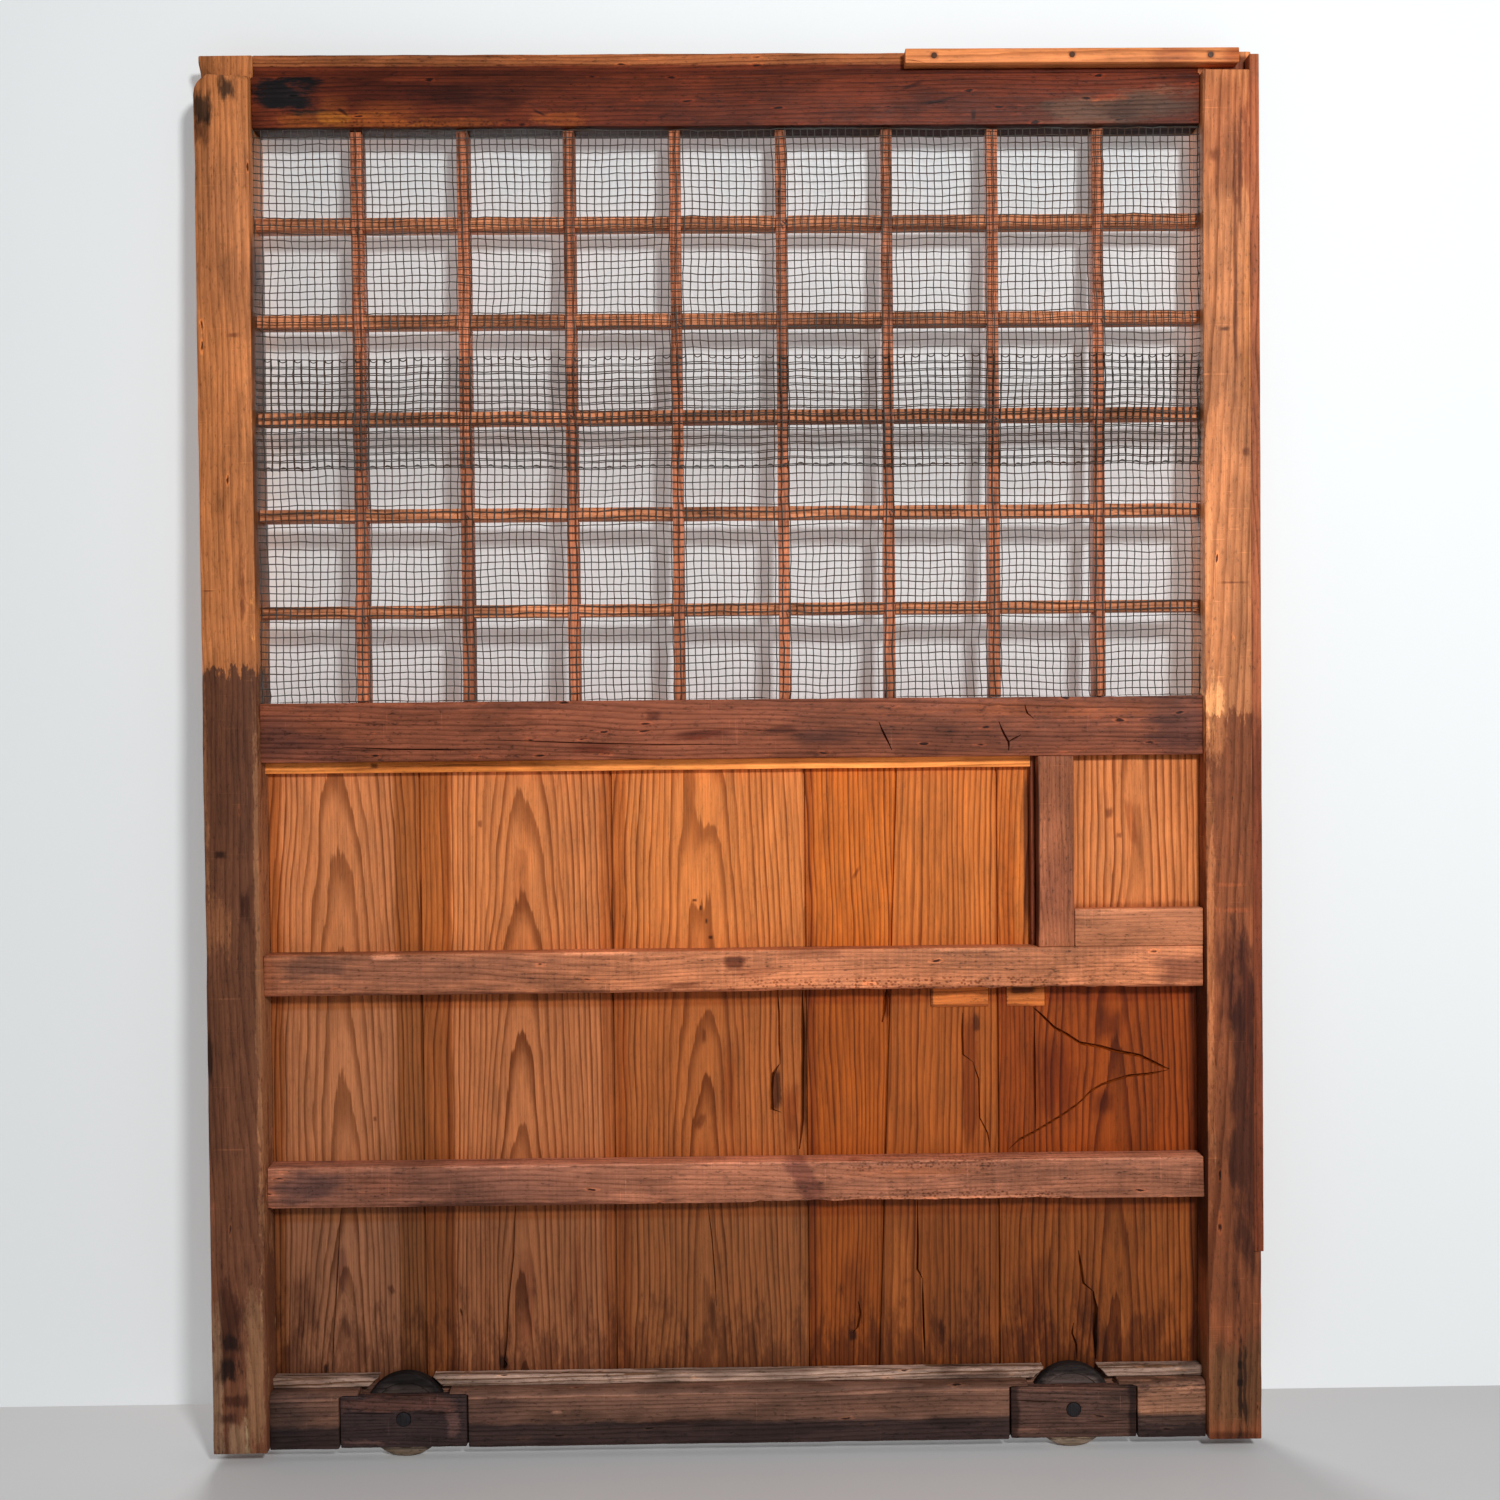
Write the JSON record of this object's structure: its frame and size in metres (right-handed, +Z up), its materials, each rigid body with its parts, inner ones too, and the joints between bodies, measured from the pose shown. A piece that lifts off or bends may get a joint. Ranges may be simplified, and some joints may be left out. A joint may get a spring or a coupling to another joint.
{
  "type": "wooden sliding storehouse door",
  "caption": "Heavy wooden sliding door with a wire-backed lattice above a boarded panel, a head tongue for the track and wooden wheels set in the bottom rail",
  "frame": {"origin": "middle of the door's width and thickness, at the level of the wheel treads on the track", "axes": "+X to the right as seen from the side shown, +Y through the door to its other side, +Z up"},
  "size_m": [1.33, 0.06, 1.776],
  "materials": {
    "stile_wood": "old reddish brown timber, bare and hand worn",
    "rail_wood": "old dark red-brown timber with insect galleries",
    "batten_wood": "old mid brown timber, frayed along its edges",
    "lattice_wood": "old red-brown planed bars",
    "mesh_wire": "thin woven iron wire, dull and rusty",
    "board_wood": "orange-brown cedar boards with strong grain",
    "new_wood": "newer light softwood, unfinished",
    "lock_wood": "purplish brown timber",
    "sill_wood": "grey weathered softwood",
    "wheel_wood": "grey-brown hard timber, worn on the tread",
    "axle_wood": "dark hard timber of axles and wedges",
    "block_wood": "near black old timber"
  },
  "bodies": {
    "door": {"left_stile": "stile_wood", "right_stile": "stile_wood", "edge_lath": "stile_wood", "top_rail": "rail_wood", "middle_rail": "rail_wood", "bottom_rail": "rail_wood", "tenon_wedges": "axle_wood", "upper_batten": "batten_wood", "lower_batten": "batten_wood", "lattice_upright_1": "lattice_wood", "lattice_upright_2": "lattice_wood", "lattice_upright_3": "lattice_wood", "lattice_upright_4": "lattice_wood", "lattice_upright_5": "lattice_wood", "lattice_upright_6": "lattice_wood", "lattice_upright_7": "lattice_wood", "lattice_upright_8": "lattice_wood", "lattice_crossbar_1": "lattice_wood", "lattice_crossbar_2": "lattice_wood", "lattice_crossbar_3": "lattice_wood", "lattice_crossbar_4": "lattice_wood", "lattice_crossbar_5": "lattice_wood", "upper_wire_mesh": "mesh_wire", "lower_wire_mesh": "mesh_wire", "panel_board_1": "board_wood", "panel_board_2": "board_wood", "panel_board_3": "board_wood", "panel_board_4": "board_wood", "panel_board_5": "board_wood", "panel_board_6": "board_wood", "patch_strip_left": "new_wood", "patch_strip_right": "new_wood", "top_bead": "new_wood", "lock_post": "lock_wood", "lock_rail": "lock_wood", "lock_panel": "board_wood", "lock_lath": "lock_wood", "sill_strip_left": "sill_wood", "sill_strip_middle": "sill_wood", "sill_strip_right": "sill_wood", "left_axle": "axle_wood", "right_axle": "axle_wood", "left_wheel_block": "block_wood", "right_wheel_block": "block_wood", "head_strip": "new_wood"},
    "left_wheel": {"left_wheel": "wheel_wood"},
    "right_wheel": {"right_wheel": "wheel_wood"}
  },
  "joints": [
    {"name": "left_wheel_spin", "type": "hinge", "parent": "door", "child": "left_wheel", "pos_m": [-0.4275, -0.0005, 0.053], "axis": [0, 1, 0], "continuous": true},
    {"name": "right_wheel_spin", "type": "hinge", "parent": "door", "child": "right_wheel", "pos_m": [0.4245, -0.0005, 0.053], "axis": [0, 1, 0], "continuous": true}
  ]
}
